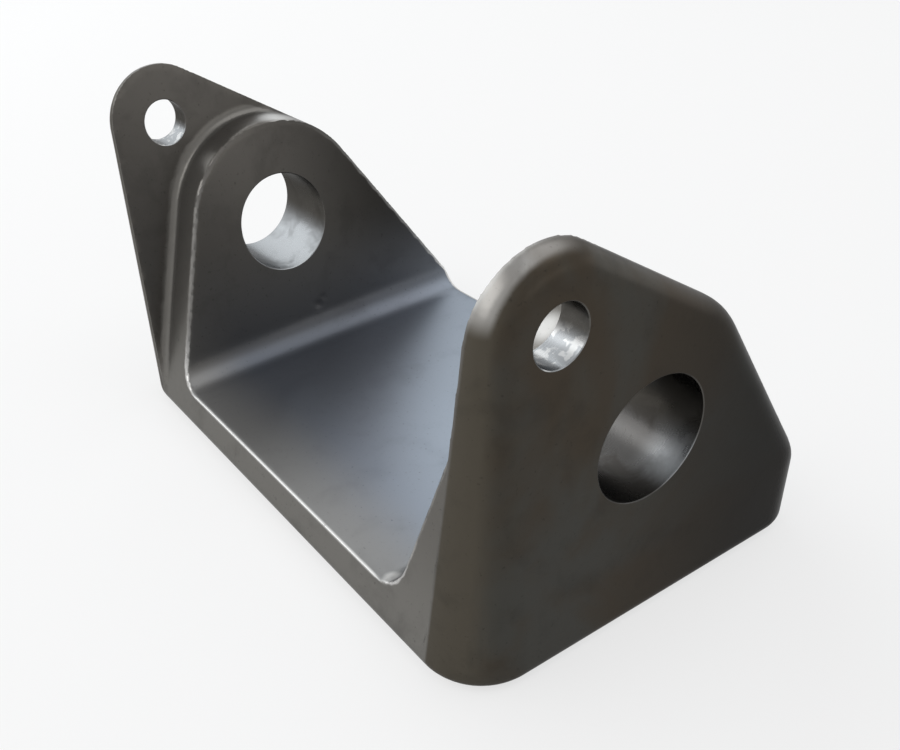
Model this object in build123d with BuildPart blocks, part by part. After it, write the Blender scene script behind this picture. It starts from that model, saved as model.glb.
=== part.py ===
from build123d import *
import os
from math import radians, sqrt, tan

os.makedirs("parts", exist_ok=True)

# Driving dimensions, in millimetres. The origin is on the pin's axis, midway between the two ears.
# X runs along the pin, Y from the open front to the back, Z up.
width = 185.0  # over the flat outer faces of the ears
base_z = -52.0  # underside
front_y = -50.5  # foot of the front face
back_y = 59.5
back_height = 17.0  # upright back, below the slope

pin_radius = 15.0  # large bore through the pads
pad_round = 30.8  # pads and ears, about the pin's axis
bolt_radius = 6.5  # small hole through the tips of the ears
bolt_axis = (-26.0, 34.5)  # Y and Z
bolt_seam = 225.0  # degrees; where the round wall of the small hole starts and ends
tip_round = 16.5  # ears, about the bolt's axis

web_thickness = 12.0
ear_thickness = 11.5  # thin upper plate, at the height of the pin's axis
ear_draft = 6.3  # degrees
pad_thickness = 25.5  # thick lower wall, at the height of the pin's axis
pad_draft = 8.4  # degrees
toe_height = 4.0  # foot of the front face, below the step between ears and pads

ear_edge = 6.0  # outer edge of the ears
front_corner = 17.0  # upright front corners at the foot, tapering to the ear's edge at the tip
back_corner = 12.5  # upright back corners
foot_edge = 4.0  # round along the underside
step_corner = 2.5  # hollow where the step meets the thin ears
channel_corner = 9.0  # inside corners between the pads and the web
rim_edge = 1.0  # round along the rim of the channel

margin = 10.0  # how far a cut reaches past what it cuts
pin_axis = (0.0, 0.0)
depth = back_y - front_y
above = bolt_axis[1] + tip_round + margin


def gap_outline(wall, draft, floor):
    """Corners of the gap between two walls that thicken downward, from the floor to above the ears."""
    low = width / 2 - wall + floor * tan(radians(draft))
    high = width / 2 - wall + above * tan(radians(draft))
    return (-low, floor), (low, floor), (high, above), (-high, above)


# Side view of the ears: rounds about the bolt and the pin, wrapped by tangent lines down to the underside
with BuildSketch(Plane.YZ) as side_view:
    with BuildLine():
        CenterArc(bolt_axis, tip_round, 0, 360)
        CenterArc(pin_axis, pad_round, 0, 360)
        Polyline((front_y, base_z), (back_y, base_z), (back_y, base_z + back_height))
    make_hull()

# The front corners' round narrows from the foot to the tip: a wedge along the front edge, hollowed by a cone
# that touches both the front and the outer face of the ear
foot_point, tip_point = side_view.sketch.edges().sort_by(Axis.Y)[0].vertices().sort_by(Axis.Z)
front_rise = Vector(tip_point) - Vector(foot_point)
narrowing = (front_corner - ear_edge) / front_rise.length
cone_height = front_corner / narrowing

with BuildPart() as corner_cut:
    edge_frame = Plane(Vector(width / 2, front_y, base_z), x_dir=(-1, 0, 0), z_dir=front_rise)
    for along in (-margin, front_rise.length + margin):
        radius = front_corner - narrowing * along
        with BuildSketch(edge_frame.offset(along)):
            with BuildLine():
                Polyline((0, -radius), (-margin, -radius), (-margin, margin))
                Polyline((-margin, margin), (radius, margin), (radius, 0), (0, -radius))
            make_face()
    loft(ruled=True)
    apex = edge_frame.from_local_coords(Vector(0, 0, cone_height))
    axis = edge_frame.from_local_coords(Vector(narrowing, -narrowing, cone_height - 1)) - apex
    cone_length = 2 * cone_height
    cone_radius = cone_length * narrowing / sqrt(1 + narrowing**2)
    with Locations(Plane(apex, z_dir=axis)):
        Cone(0, cone_radius, cone_length, align=(Align.CENTER, Align.CENTER, Align.MIN), mode=Mode.SUBTRACT)
    mirror(about=Plane.YZ)

# The gap between the thin ears, down to the leaning front and the round top of the pads
with BuildPart() as ear_gap:
    with BuildSketch(Plane.XZ):
        with BuildLine():
            Polyline(*gap_outline(ear_thickness, ear_draft, base_z - margin), close=True)
        make_face()
    extrude(amount=depth, both=True)
    with BuildSketch(Plane.YZ):
        with BuildLine():
            CenterArc(pin_axis, pad_round, 0, 360)
            Polyline((front_y, base_z + toe_height), (front_y, base_z - margin), (back_y + margin, base_z - margin))
            Line((back_y + margin, base_z - margin), (back_y + margin, base_z + back_height))
        make_hull()
    extrude(amount=width, both=True, mode=Mode.SUBTRACT)
    step_line = ear_gap.faces().filter_by(GeomType.CYLINDER).edges().filter_by(GeomType.ELLIPSE)
    fillet(step_line, step_corner)

with BuildPart() as cast_bracket:
    extrude(side_view.sketch, amount=width / 2, both=True)
    fillet(cast_bracket.edges().filter_by(Axis.Z).group_by(Axis.Y)[-1], back_corner)
    fillet(cast_bracket.edges().filter_by(GeomType.CIRCLE).group_by(Axis.Z)[-1], ear_edge)
    add(corner_cut.part, mode=Mode.SUBTRACT)
    fillet(cast_bracket.faces().sort_by(Axis.Z)[0].edges(), foot_edge)
    add(ear_gap.part, mode=Mode.SUBTRACT)

    # The channel between the pads
    with BuildSketch(Plane.XZ) as channel:
        with BuildLine():
            Polyline(*gap_outline(pad_thickness, pad_draft, base_z + web_thickness), close=True)
        make_face()
        fillet(channel.vertices().group_by(Axis.Y)[0], channel_corner)
    extrude(amount=depth, both=True, mode=Mode.SUBTRACT)
    channel_floor = cast_bracket.faces().filter_by(Axis.Z).sort_by(Axis.Z)[-1]
    fillet(channel_floor.edges().sort_by(Axis.Y)[0], rim_edge)

    # Both bores run through both ears
    with BuildSketch(Plane.YZ):
        Circle(pin_radius)
        with Locations(Location((*bolt_axis, 0), (0, 0, bolt_seam))):
            Circle(bolt_radius)
    extrude(amount=width, both=True, mode=Mode.SUBTRACT)

cast_bracket.part.label = "cast_bracket"
export_step(cast_bracket.part, "parts/cast_bracket.step")
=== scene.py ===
from math import cos, radians, tan

import bmesh
import bpy
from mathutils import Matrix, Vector


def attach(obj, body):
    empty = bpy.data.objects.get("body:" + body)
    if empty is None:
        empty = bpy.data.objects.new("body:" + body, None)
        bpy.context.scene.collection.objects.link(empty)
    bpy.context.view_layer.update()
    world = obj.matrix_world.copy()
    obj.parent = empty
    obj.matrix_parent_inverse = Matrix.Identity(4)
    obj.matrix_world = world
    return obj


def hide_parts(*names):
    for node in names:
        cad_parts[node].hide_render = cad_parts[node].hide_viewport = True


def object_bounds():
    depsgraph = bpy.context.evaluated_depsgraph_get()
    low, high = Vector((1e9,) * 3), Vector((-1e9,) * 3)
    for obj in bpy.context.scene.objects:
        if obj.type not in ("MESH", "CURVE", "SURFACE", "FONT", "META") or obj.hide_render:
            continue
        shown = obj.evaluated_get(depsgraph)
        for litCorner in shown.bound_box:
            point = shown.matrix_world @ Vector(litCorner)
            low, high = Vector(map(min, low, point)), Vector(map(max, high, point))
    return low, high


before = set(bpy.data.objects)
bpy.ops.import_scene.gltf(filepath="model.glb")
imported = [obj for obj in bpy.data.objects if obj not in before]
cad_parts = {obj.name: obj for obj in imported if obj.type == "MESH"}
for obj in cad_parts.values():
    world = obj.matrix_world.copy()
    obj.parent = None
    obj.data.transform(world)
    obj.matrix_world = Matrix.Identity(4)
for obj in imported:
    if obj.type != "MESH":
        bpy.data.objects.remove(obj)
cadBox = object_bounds()
mm = 0.001


def pick(*things):
    bpy.ops.object.select_all(action="DESELECT")
    for thing in things:
        thing.select_set(True)
    bpy.context.view_layer.objects.active = things[0]


def settle(thing):  # its place goes into its mesh
    pick(thing)
    bpy.ops.object.transform_apply(location=True, rotation=True, scale=True)


def finishWith(thing, kind, **settings):
    pick(thing)
    modifier = thing.modifiers.new(kind.title(), kind)
    for name, value in settings.items():
        setattr(modifier, name, value)
    bpy.ops.object.modifier_apply(modifier=modifier.name)


# The casting. Both bores run along X; each wall leans out by its draft, and its inner face is given at Z = 0.
casting = {
    "grain": 1.0 * mm,  # size of the remeshed skin's faces
    "octreeDepth": 8,  # the remesh divides the longest side into 2 to this power
    "sharpness": 1.0,
    "mergeWithin": 0.002 * mm,
    "easing": 2,  # rounds of smoothing, which soften the edges that came out of the mould
    "easingShare": 0.5,
    "creaseAngle": 32,  # degrees
    "wearRounds": 2,  # of smoothing, for the mark of how convex the skin is
    "outerFace": 92.5 * mm,
    "bores": {
        "pin": {"y": 0.0, "z": 0.0, "radius": 15.0 * mm, "innerFace": 67.0 * mm, "draft": radians(8.4)},
        "bolt": {"y": -26.0 * mm, "z": 34.5 * mm, "radius": 6.5 * mm, "innerFace": 81.0 * mm, "draft": radians(6.3)},
    },
    "boreSides": 160,
    "boreReach": 1.01,  # faces nearer to a bore's axis than this many radii are its wall
    "drillStart": 0.8,  # share of the inner face's distance from the middle, well inside the gap
    "flatWithin": 0.999,  # cosine
    "deburr": 0.15 * mm,  # at the rims of the bores
    "deburrReach": 1.0 * mm,
    "dents": [  # place, depth and reach of a few casting flaws, in millimetres
        ((-62.5, 6.0, -30.0), 0.45, 1.6),
        ((-62.9, 8.5, -28.5), 0.25, 1.3),
        ((92.5, -29.8, 5.9), 0.2, 2.2),
        ((92.5, -18.8, -6.5), 0.25, 1.7),
    ],
    "dentSearch": 3,  # reaches within which a dent looks for the skin
}


def innerPlane(bore, side):  # a point on the wall's inner face where the bore meets it, and the way it faces
    point = Vector((side * (bore["innerFace"] + bore["z"] * tan(bore["draft"])), bore["y"], bore["z"]))
    return point, Vector((-side * cos(bore["draft"]), 0, cos(radians(90) - bore["draft"])))


def flareEnd(centre, facing, bore):  # widens the selected end of a drill into a cone that eases the rim
    out = casting["deburr"] + casting["deburrReach"]
    bpy.ops.mesh.extrude_region_move(TRANSFORM_OT_translate={"value": facing * out})
    grow = (bore["radius"] + out) / bore["radius"]
    bpy.ops.transform.resize(value=(1, grow, grow), center_override=centre + facing * out)


def selectFlat(thing, facing):  # the one face that faces that way
    bpy.ops.object.mode_set(mode="OBJECT")
    for face in thing.data.polygons:
        face.select = face.normal.dot(facing) > casting["flatWithin"]
    bpy.ops.object.mode_set(mode="EDIT")


def boreCutter(bore, side):
    sink = casting["deburr"]
    point, facing = innerPlane(bore, side)
    outer = Vector((side * (casting["outerFace"] - sink), bore["y"], bore["z"]))
    startX = side * bore["innerFace"] * casting["drillStart"]
    bpy.ops.mesh.primitive_cylinder_add(
        vertices=casting["boreSides"], radius=bore["radius"], depth=abs(outer.x - startX),
        location=((outer.x + startX) / 2, bore["y"], bore["z"]), rotation=(0, radians(90), 0))
    cutter = bpy.context.object
    settle(cutter)
    bpy.ops.object.mode_set(mode="EDIT")
    bpy.ops.mesh.select_mode(type="FACE")
    bpy.ops.mesh.select_all(action="SELECT")
    bpy.ops.mesh.bisect(plane_co=point - facing * sink, plane_no=facing, use_fill=True, clear_outer=True)
    selectFlat(cutter, facing)
    flareEnd(point - facing * sink, facing, bore)
    selectFlat(cutter, Vector((side, 0, 0)))
    flareEnd(outer, Vector((side, 0, 0)), bore)
    bpy.ops.mesh.select_all(action="DESELECT")
    bpy.ops.mesh.select_interior_faces()
    bpy.ops.mesh.delete(type="FACE")
    bpy.ops.mesh.select_all(action="SELECT")
    bpy.ops.mesh.normals_make_consistent(inside=False)
    bpy.ops.object.mode_set(mode="OBJECT")
    return cutter


def closeBores(skin):  # takes the bores' walls away and closes both ends flush
    bores = casting["bores"].values()
    bpy.ops.object.mode_set(mode="EDIT")
    bpy.ops.mesh.select_mode(type="FACE")
    bpy.ops.mesh.select_all(action="DESELECT")
    bpy.ops.object.mode_set(mode="OBJECT")
    for face in skin.data.polygons:
        middle = face.center
        away = min(Vector((middle.y - b["y"], middle.z - b["z"])).length / b["radius"] for b in bores)
        face.select = away < casting["boreReach"]
    bpy.ops.object.mode_set(mode="EDIT")
    bpy.ops.mesh.delete(type="FACE")
    bpy.ops.mesh.select_all(action="SELECT")
    bpy.ops.mesh.fill_holes(sides=0)
    bpy.ops.mesh.select_all(action="SELECT")
    bpy.ops.mesh.normals_make_consistent(inside=False)
    bpy.ops.object.mode_set(mode="OBJECT")


def dent(skin):  # shallow round flaws, pushed in along the surface's own normal
    points = skin.data.vertices
    for place, depth, reach in casting["dents"]:
        centre = Vector(place) * mm
        near = [v for v in points if (v.co - centre).length < casting["dentSearch"] * reach * mm]
        if not near:
            continue
        nearest = min(near, key=lambda v: (v.co - centre).length)
        inward = -nearest.normal.copy()
        centre = nearest.co.copy()
        for v in near:
            share = max(0.0, 1 - (v.co - centre).length / (reach * mm))
            v.co += inward * depth * mm * share * share * (3 - 2 * share)


def keepInBox(skin):  # none of it may stand outside the CAD box
    low, high = cadBox
    for v in skin.data.vertices:
        v.co = [min(max(v.co[i], low[i]), high[i]) for i in range(3)]


def makeCasting():
    c = casting
    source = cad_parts["cast_bracket"]
    skin = bpy.data.objects.new("castingSkin", source.data.copy())
    bpy.context.scene.collection.objects.link(skin)
    skin.data.materials.clear()
    pick(skin)
    bpy.ops.object.mode_set(mode="EDIT")
    bpy.ops.mesh.select_all(action="SELECT")
    bpy.ops.mesh.remove_doubles(threshold=c["mergeWithin"])
    bpy.ops.object.mode_set(mode="OBJECT")
    closeBores(skin)
    print("casting merged and its bores closed", len(skin.data.polygons))
    cells = max(skin.dimensions) / (2 ** c["octreeDepth"] * c["grain"])  # brings a cell to the grain's size
    finishWith(skin, "REMESH", mode="SHARP", octree_depth=c["octreeDepth"], scale=cells,
               sharpness=c["sharpness"], use_remove_disconnected=True)
    print("casting remeshed", len(skin.data.polygons))
    finishWith(skin, "SMOOTH", factor=c["easingShare"], iterations=c["easing"])
    dent(skin)
    keepInBox(skin)
    cutters = [boreCutter(bore, side) for bore in c["bores"].values() for side in (1, -1)]
    pick(*cutters)
    bpy.ops.object.join()
    finishWith(skin, "BOOLEAN", operation="DIFFERENCE", solver="EXACT", object=cutters[0])
    bpy.data.objects.remove(cutters[0])
    print("bores cut", len(skin.data.polygons))
    pick(skin)
    bpy.ops.object.shade_smooth_by_angle(angle=radians(c["creaseAngle"]))
    return skin


def markWearAndHighlights(skin):  # how convex the skin is at each point, for edges that handling has polished and for painted highlights on edges and in hollows
    work = bmesh.new()
    work.from_mesh(skin.data)
    work.verts.ensure_lookup_table()
    bend = [0.0] * len(work.verts)
    for edge in work.edges:
        if len(edge.link_faces) == 2:
            turn = edge.calc_face_angle_signed(0.0)
            for v in edge.verts:
                bend[v.index] += turn
    for _ in range(casting["wearRounds"]):
        around = [sum(bend[e.other_vert(v).index] for e in v.link_edges) for v in work.verts]
        bend = [(bend[v.index] + around[v.index] / max(len(v.link_edges), 1)) / 2 for v in work.verts]
    work.free()
    layer = skin.data.attributes.new("wearAndHighlight", "FLOAT", "POINT")
    layer.data.foreach_set("value", bend)


class Value:  # a node's output, for sums on sockets
    def __init__(self, finish, socket):
        self.finish, self.socket = finish, socket

    def __add__(self, other): return self.finish.maths("ADD", self, other)
    def __sub__(self, other): return self.finish.maths("SUBTRACT", self, other)
    def __rsub__(self, other): return self.finish.maths("SUBTRACT", other, self)
    def __mul__(self, other): return self.finish.maths("MULTIPLY", self, other)
    def __truediv__(self, other): return self.finish.maths("DIVIDE", self, other)
    __radd__, __rmul__ = __add__, __mul__


class Finish:  # the nodes of a material or of the world
    def __init__(self, owner):
        self.owner = owner
        owner.use_nodes = True
        self.tree = owner.node_tree
        self.tree.nodes.clear()

    def node(self, kind, settings=None, sockets=None):
        made = self.tree.nodes.new("ShaderNode" + kind)
        for name, value in (settings or {}).items():
            setattr(made, name, value)
        for name, value in (sockets or {}).items():
            socket = self.find(made.inputs, name)
            if isinstance(value, Value):
                self.tree.links.new(value.socket, socket)
            else:
                socket.default_value = value
        return made

    def find(self, sockets, name):
        return next(s for s in sockets if name in (s.identifier, s.name) and s.enabled)

    def out(self, made, name=None):
        return Value(self, self.find(made.outputs, name) if name else made.outputs[0])

    def maths(self, how, first, second=0.0):
        made = self.tree.nodes.new("ShaderNodeMath")
        made.operation = how
        for socket, value in zip(made.inputs, (first, second)):
            if isinstance(value, Value):
                self.tree.links.new(value.socket, socket)
            else:
                socket.default_value = value
        return Value(self, made.outputs[0])

    def step(self, value, low, high):  # 0 below low, 1 above high, smooth between
        return self.out(self.node("MapRange", {"interpolation_type": "SMOOTHSTEP"},
                                  {"Value": value, "From Min": low, "From Max": high}), "Result")

    def distance(self, first, second):
        return self.out(self.node("VectorMath", {"operation": "DISTANCE"},
                                  {"Vector": first, "Vector_001": second}), "Value")

    def mix(self, factor, first, second):
        return self.out(self.node("Mix", {"data_type": "RGBA", "clamp_factor": True},
                                  {"Factor_Float": factor, "A_Color": first, "B_Color": second}), "Result_Color")

    def mixShader(self, factor, first, second):
        made = self.node("MixShader", {}, {"Fac": factor})
        self.tree.links.new(first.socket, made.inputs[1])
        self.tree.links.new(second.socket, made.inputs[2])
        return self.out(made)

    def noise(self, place, scale, detail, roughness, distortion):
        return self.out(self.node("TexNoise", {}, {"Vector": place, "Scale": scale, "Detail": detail,
                                                   "Roughness": roughness, "Distortion": distortion}), "Fac")

    def seenAsBackground(self):  # 1 where the camera, a reflection or glass looks at it
        path = self.node("LightPath")
        seen = self.out(path, "Is Camera Ray")
        for ray in ("Is Glossy Ray", "Is Transmission Ray"):
            seen = self.maths("MAXIMUM", seen, self.out(path, ray))
        return seen

    def close(self, kind, shader):
        self.node("Output" + kind, {}, {"Surface": shader})
        return self.owner


def shade(red, green, blue):  # a screen colour, 0 to 255, as the linear colour that a shader takes
    def linear(level):
        level /= 255
        return level / 12.92 if level <= 0.04045 else ((level + 0.055) / 1.055) ** 2.4
    return (linear(red), linear(green), linear(blue), 1.0)


castIron = {
    "colours": {
        "outer": shade(67, 66, 62),  # outer faces of the ears
        "warm": shade(65, 58, 49),  # brown blotches on them, and the underside
        "litCorner": shade(80, 75, 66),  # painted light: a lighter, brownish tone on the front corners of the ears, where they turn frontwards
        "inner": shade(95, 92, 88),  # faces between the ears
        "front": shade(118, 116, 112),  # painted light on the front faces below the step, and a painted highlight in the hollow along it
        "scale": shade(99, 103, 111),  # painted reflection: a lighter, bluish tone on the floor of the channel
        "paintedSheen": shade(131, 139, 149),  # painted reflection, lighter towards the back and right of the floor
        "frontGrey": shade(116, 115, 113),  # lighter neutral grey along the front of the floor
        "sootAndShade": shade(31, 30, 28),  # darker towards the back, painted shade on the front left of the floor, and soot in smudges and in specks
        "polishedAndHighlight": shade(205, 204, 202),  # rubbed bright, and painted highlights on the rim, the tip and a few places
        "machined": shade(132, 134, 136),  # walls of the bores
        # stain, and the painted shade deep in the right pin bore
        "stain": shade(66, 64, 62),
        "boreUpperShade": shade(76, 73, 68),  # painted shade in the upper half of the bores
    },
    "patterns": {  # scale per metre, detail, roughness and distortion
        "blotch": (20.0, 4.0, 0.55, 0.6),
        "smudge": (75.0, 5.0, 0.6, 0.3),
        "stain": (120.0, 4.0, 0.6, 0.5),
        "mottle": (420.0, 2.0, 0.6, 0.0),
        "speckle": (900.0, 3.0, 0.6, 0.0),
        "swell": (38.0, 2.0, 0.4, 0.0),  # slow unevenness left by the mould
        "peel": (420.0, 3.0, 0.55, 0.0),
        "grit": (1500.0, 2.0, 0.5, 0.0),
    },
    "bands": {  # each mask fades from one value to the other
        "blotch": (0.42, 0.62),
        "smudge": (0.48, 0.72),
        "stain": (0.45, 0.7),
        "mottle": (0.5, 0.6),
        "speckle": (0.62, 0.75),
        "outerSkin": (81.3 * mm, 82.3 * mm),  # from the middle at Z = 0, along the ears' lean
        "frontwards": (0.4, 0.75),  # share of the surface's normal
        "downwards": (0.6, 0.95),
        "cornerTurn": (0.6, 0.95),
        "cornerBack": (-42.0 * mm, -32.0 * mm),
        "frontRise": (-42.0 * mm, -15.0 * mm),
        "sootAndShade": (-20.0 * mm, 45.0 * mm),
        "channelSide": (58.0 * mm, 67.0 * mm),
        "channelFloor": (-41.4 * mm, -40.5 * mm),
        "paintedSheenAcross": (-24.0 * mm, 22.0 * mm),
        "paintedSheenBack": (-38.0 * mm, 5.0 * mm),
        "shadeAcross": (-46.0 * mm, -18.0 * mm),
        "frontGrey": (-45.0 * mm, -22.0 * mm),
        "rimAway": (22.0 * mm, 26.0 * mm),  # from the pin's axis
        "rimSide": (68.0 * mm, 72.0 * mm),
        "rimRise": (-40.0 * mm, -20.0 * mm),
        "wearAndHighlight": (0.6, 1.0),  # radians of convex bend
        "hollow": (0.12, 0.4),  # radians of concave bend
        "hollowSide": (70.0 * mm, 74.0 * mm),
        "highlightTurn": (0.5, 0.8),
        "tipTurn": (0.55, 0.72),
        "tipRise": (38.0 * mm, 42.5 * mm),
        "tipSide": (0.0, 10.0 * mm),
        "tipBack": (-42.0 * mm, -19.0 * mm),
        "boreRim": (0.15 * mm, 0.25 * mm),  # past the bore's radius
        "boreUpper": (0.0, 0.45),  # in radii
        "mouthSide": (80.0 * mm, 91.0 * mm),
        "mouthBack": (2.0 * mm, 9.0 * mm),
        "depthShadeSide": (0.0, 20.0 * mm),
    },
    "shares": {  # how much of each goes on
        "frontRise": 0.6,
        "sootAndShade": 0.9,
        "paintedSheenBack": 0.5,
        "floorShade": 0.3,
        "frontGrey": 0.85,
        "smudge": 0.2,
        "channelSmudge": 0.6,  # taken off in the channel
        "channelPeel": 0.6,
        "rimRise": 0.8,
        "wearAndHighlight": 0.95,
        "hollow": 0.5,
        "tip": 0.42,
        "tipSmudge": 0.2,
        "speckle": 0.35,
        "stain": 0.2,
        "boreDepthShade": 0.9,  # painted shade in the right pin bore, away from its mouth
        "mottle": 0.35,
        "boreUpperShade": 0.9,
    },
    "paintedHighlights": [  # painted highlights: middle, reach of the full share, reach of all of it, and share
        ((56.5 * mm, -44.8 * mm, -39.4 * mm), 1.0 * mm, 3.2 * mm, 0.6),  # painted highlight at the right end of the rim
        ((-75.0 * mm, 8.0 * mm, 29.8 * mm), 1.0 * mm, 9.5 * mm, 0.75),  # top of the left pad, beside the ear
        ((77.0 * mm, -15.8 * mm, 26.4 * mm), 1.0 * mm, 5.0 * mm, 0.7),  # top of the right pad, behind the bolt bore
        ((88.0 * mm, -24.0 * mm, 50.8 * mm), 1.5 * mm, 7.0 * mm, 0.16),  # top of the right tip
    ],
    "earLean": tan(radians(6.3)),
    "floorSlant": 0.93,  # of the light on the floor, from its front left to its back right
    "boreShadeWay": (0.6, 0.8),  # Y and Z
    "metallic": 0.6,
    "boreMetallic": 0.95,
    "specular": 0.2,
    "specularTint": (0.4, 0.4, 0.4, 1.0),
    "roughness": {"plain": 0.29, "smudge": 0.05, "speckle": 0.04, "wearAndHighlight": 0.06, "channel": 0.07,
                  "bore": 0.27, "stain": 0.15},
    "heights": {"swell": 0.2, "peel": 0.02, "grit": 0.008, "rings": 0.0015},  # in millimetres
    "turningMarks": 9000.0,  # radians per metre along the bores
    "bumpStrength": 0.6,
}


def castIronFinish():
    c = castIron
    colours, shares, rough, heights = c["colours"], c["shares"], c["roughness"], c["heights"]
    pin, bolt = casting["bores"]["pin"], casting["bores"]["bolt"]
    f = Finish(bpy.data.materials.new("castIron"))
    place = f.out(f.node("TexCoord"), "Object")
    split = f.node("SeparateXYZ", {}, {"Vector": place})
    x, y, z = (f.out(split, axis) for axis in "XYZ")

    def pattern(name):
        return f.noise(place, *c["patterns"][name])

    def past(value, band):  # 0 before the band, 1 past it
        return f.step(value, *c["bands"][band])

    def short(value, band):  # 1 before the band, 0 past it
        return 1 - past(value, band)

    blotch = past(pattern("blotch"), "blotch")
    smudge = past(pattern("smudge"), "smudge")
    stain = past(pattern("stain"), "stain")
    speckle = pattern("speckle")
    fromMiddle = f.maths("ABSOLUTE", x)
    isOuter = past(fromMiddle - z * c["earLean"], "outerSkin")
    facing = f.node("SeparateXYZ", {}, {"Vector": f.out(f.node("TexCoord"), "Normal")})
    sideways = f.maths("ABSOLUTE", f.out(facing, "X"))
    frontwards = past(f.out(facing, "Y") * -1.0, "frontwards")
    downwards = past(f.out(facing, "Z") * -1.0, "downwards")
    inChannel = short(fromMiddle, "channelSide") * past(z, "channelFloor") * (1 - frontwards)

    # Its own colours, with painted light on the front corners and the front faces, and darker towards the back
    colour = f.mix(blotch, colours["outer"], colours["warm"])
    # painted light: the front corners of the ears are lighter where they turn frontwards
    colour = f.mix(short(sideways, "cornerTurn") * short(y, "cornerBack"), colour, colours["litCorner"])
    colour = f.mix(1 - isOuter, colour, colours["inner"])
    # painted light: the front faces below the step are lighter, less so higher up
    litFront = frontwards * (1 - isOuter) * (1 - past(z, "frontRise") * shares["frontRise"])
    colour = f.mix(litFront, colour, colours["front"])
    colour = f.mix(downwards, colour, colours["warm"])
    # darker towards the back
    colour = f.mix(past(y, "sootAndShade") * shares["sootAndShade"], colour, colours["sootAndShade"])

    # Floor of the channel, with painted reflection and painted shade on it
    across = y + x * c["floorSlant"]
    # painted reflection, lighter towards the back and right of the floor
    paintedSheen = past(across, "paintedSheenAcross") * (past(y, "paintedSheenBack") * shares["paintedSheenBack"] + (1 - shares["paintedSheenBack"]))
    floor = f.mix(paintedSheen, colours["scale"], colours["paintedSheen"])
    # painted shade on the front left of the floor
    floor = f.mix(short(across, "shadeAcross") * shares["floorShade"], floor, colours["sootAndShade"])
    # lighter grey along the front of the floor
    floor = f.mix(short(y, "frontGrey") * shares["frontGrey"], floor, colours["frontGrey"])
    colour = f.mix(inChannel, colour, floor)
    smudged = smudge * (1 - inChannel * shares["channelSmudge"]) * shares["smudge"]
    colour = f.mix(smudged, colour, colours["sootAndShade"])

    # Painted highlights, partly wear: the rim of the channel, a few places, and a band round the front of the right
    # tip
    fromPin = f.maths("SQRT", y * y + z * z)
    onRim = past(fromPin, "rimAway") * short(fromMiddle, "rimSide")
    onRim = onRim * (1 - past(z, "rimRise") * shares["rimRise"])
    bend = f.out(f.node("Attribute", {"attribute_name": "wearAndHighlight"}), "Fac")
    # partly edge wear, partly a painted highlight along the rim of the channel
    wearAndHighlight = past(bend, "wearAndHighlight") * onRim
    colour = f.mix(wearAndHighlight * shares["wearAndHighlight"], colour, colours["polishedAndHighlight"])
    # painted highlight along the concave hollows on the ears' inner side
    hollowHighlight = past(bend * -1.0, "hollow") * past(fromMiddle, "hollowSide") * (1 - isOuter)
    colour = f.mix(hollowHighlight * shares["hollow"], colour, colours["front"])
    # painted highlights at a few places
    for middle, core, reach, share in c["paintedHighlights"]:
        near = (1 - f.step(f.distance(place, middle), core, reach)) * short(sideways, "highlightTurn")
        colour = f.mix(near * share, colour, colours["polishedAndHighlight"])
    # painted highlight: a band round the front of the right tip
    tipHighlight = short(sideways, "tipTurn") * past(z, "tipRise") * past(x, "tipSide") * short(y, "tipBack")
    colour = f.mix(tipHighlight * (shares["tip"] + smudge * shares["tipSmudge"]), colour, colours["polishedAndHighlight"])
    colour = f.mix(past(speckle, "speckle") * shares["speckle"], colour, colours["sootAndShade"])

    def within(bore):
        side, up = y - bore["y"], z - bore["z"]
        return short(f.maths("SQRT", side * side + up * up) - bore["radius"], "boreRim")

    def upperHalf(bore):
        back, up = c["boreShadeWay"]
        return past(((z - bore["z"]) * up + (y - bore["y"]) * back) / bore["radius"], "boreUpper")

    # Walls of the bores, with painted shade in their upper halves and deep in the right pin bore
    inPin, inBolt = within(pin), within(bolt)
    bores = f.maths("MAXIMUM", inPin, inBolt)
    # painted shade in the upper halves of the bores
    boreUpperShade = inPin * upperHalf(pin) + inBolt * upperHalf(bolt)
    atMouth = past(x, "mouthSide") * past(y, "mouthBack")  # the painted shade in the right pin bore stops where it opens
    # painted shade deep in the right pin bore
    boreDepthShade = inPin * past(x, "depthShadeSide") * (1 - atMouth)
    bright = f.mix(stain * shares["stain"] + boreDepthShade * shares["boreDepthShade"], colours["machined"], colours["stain"])
    mottle = past(pattern("mottle"), "mottle")
    bright = f.mix(inBolt * mottle * shares["mottle"], bright, colours["polishedAndHighlight"])
    bright = f.mix(boreUpperShade * shares["boreUpperShade"], bright, colours["boreUpperShade"])
    colour = f.mix(bores, colour, bright)

    metallic = bores * (c["boreMetallic"] - c["metallic"]) + c["metallic"]
    roughness = smudge * rough["smudge"] + speckle * rough["speckle"] - wearAndHighlight * rough["wearAndHighlight"]
    roughness = roughness + inChannel * rough["channel"] + rough["plain"]
    roughness = roughness * (1 - bores) + (stain * rough["stain"] + rough["bore"]) * bores
    height = pattern("swell") * heights["swell"]
    height = height + pattern("peel") * (1 - inChannel * shares["channelPeel"]) * heights["peel"]
    height = (height + pattern("grit") * heights["grit"]) * (1 - bores)
    height = height + f.maths("SINE", x * c["turningMarks"]) * heights["rings"] * bores
    bump = f.node("Bump", {}, {"Strength": c["bumpStrength"], "Distance": mm, "Height": height})
    shader = f.node("BsdfPrincipled", {}, {
        "Base Color": colour, "Metallic": metallic, "Roughness": roughness, "Normal": f.out(bump, "Normal"),
        "Specular IOR Level": c["specular"], "Specular Tint": c["specularTint"]})
    return f.close("Material", f.out(shader, "BSDF"))


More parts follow.
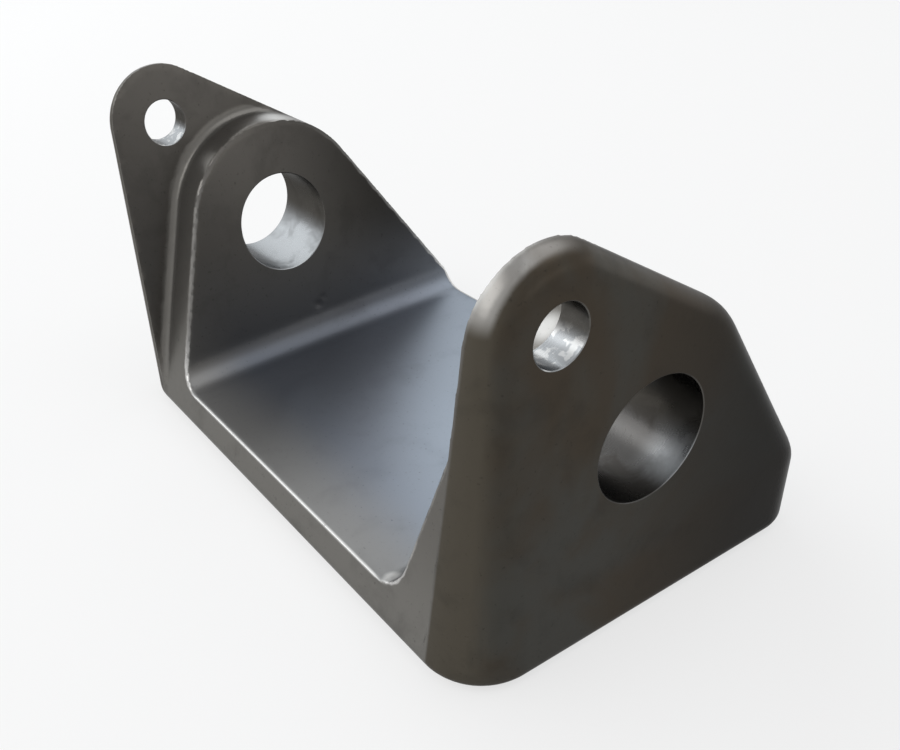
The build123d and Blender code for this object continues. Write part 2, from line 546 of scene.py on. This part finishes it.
studio = {
    "floorSize": 6.0,
    "floorColour": (0.8, 0.8, 0.8, 1.0),
    "whiteShare": 0.7,  # of the floor, where it is seen as the background
    "white": (1.0, 1.0, 1.0, 1.0),
    "worldLight": (0.25, 0.25, 0.25, 1.0),
    "lamps": [  # all point at the middle of the casting
        {"name": "windowSoftbox", "place": (-1.0, -0.05, 0.65), "size": (1.7, 0.9), "watts": 9.4,
         "colour": (0.94, 0.98, 1.0)},
        {"name": "overheadSoftbox", "place": (0.15, 0.45, 1.05), "size": (1.3, 1.0), "watts": 5.4,
         "colour": (0.96, 0.98, 1.0)},
        {"name": "frontSoftbox", "place": (-0.2, -0.78, 0.74), "size": (1.0, 0.7), "watts": 4.5,
         "colour": (1.0, 1.0, 1.0)},
        {"name": "backStrip", "place": (0.1, 1.2, 0.12), "size": (1.0, 0.3), "watts": 1.0,
         "colour": (1.0, 1.0, 1.0)},
        {"name": "rightFill", "place": (1.25, 0.5, 0.22), "size": (0.9, 0.4), "watts": 0.6,
         "colour": (1.0, 0.98, 0.94)},
    ],
}


def makeFloor():
    s = studio
    bpy.ops.mesh.primitive_plane_add(size=s["floorSize"], location=(0, 0, cadBox[0].z))
    floor = bpy.context.object
    floor.name = "studioFloor"
    settle(floor)
    f = Finish(bpy.data.materials.new("paleFloor"))
    matt = f.out(f.node("BsdfDiffuse", {}, {"Color": s["floorColour"]}), "BSDF")
    white = f.out(f.node("Emission", {}, {"Color": s["white"], "Strength": 1.0}), "Emission")
    pale = f.mixShader(f.seenAsBackground() * s["whiteShare"], matt, white)
    clear = f.out(f.node("BsdfTransparent"))
    below = f.out(f.node("NewGeometry"), "Backfacing")  # so that the casting's underside shows from below
    floor.data.materials.append(f.close("Material", f.mixShader(below, pale, clear)))


def makeWorld():
    s = studio
    f = Finish(bpy.data.worlds.new("studioWorld"))
    dim = f.out(f.node("Background", {}, {"Color": s["worldLight"], "Strength": 1.0}))
    white = f.out(f.node("Background", {}, {"Color": s["white"], "Strength": 1.0}))
    bpy.context.scene.world = f.close("World", f.mixShader(f.seenAsBackground(), dim, white))


def hangLamps():
    for lamp in studio["lamps"]:
        bpy.ops.object.light_add(type="AREA", location=lamp["place"])
        light = bpy.context.object
        light.name = lamp["name"]
        light.rotation_euler = (-Vector(lamp["place"])).to_track_quat("-Z", "Y").to_euler()
        light.data.shape, light.data.color = "RECTANGLE", lamp["colour"]
        light.data.size, light.data.size_y = lamp["size"]
        light.data.energy = lamp["watts"]


photoCamera = {
    "place": (203.72 * mm, -129.18 * mm, 120.87 * mm),
    "turn": (52.104, 5.678, 57.462),  # degrees
    "lens": 38.41,
    "sensor": 36.0,
    "shift": (0.1, 0.1218),
    "nearest": 10.0 * mm,
}


def makeCamera():
    c = photoCamera
    bpy.ops.object.camera_add(location=c["place"], rotation=[radians(angle) for angle in c["turn"]])
    camera = bpy.context.object
    camera.name = "photoCamera"
    camera.data.lens, camera.data.sensor_width = c["lens"], c["sensor"]
    camera.data.shift_x, camera.data.shift_y = c["shift"]
    camera.data.clip_start = c["nearest"]
    bpy.context.scene.camera = camera


skin = makeCasting()
markWearAndHighlights(skin)
skin.data.materials.append(castIronFinish())
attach(skin, "root")
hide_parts("cast_bracket")
print("casting finished")
makeFloor()
makeWorld()
hangLamps()
makeCamera()
bpy.context.scene.view_settings.view_transform = "Standard"
print("studio and camera made")
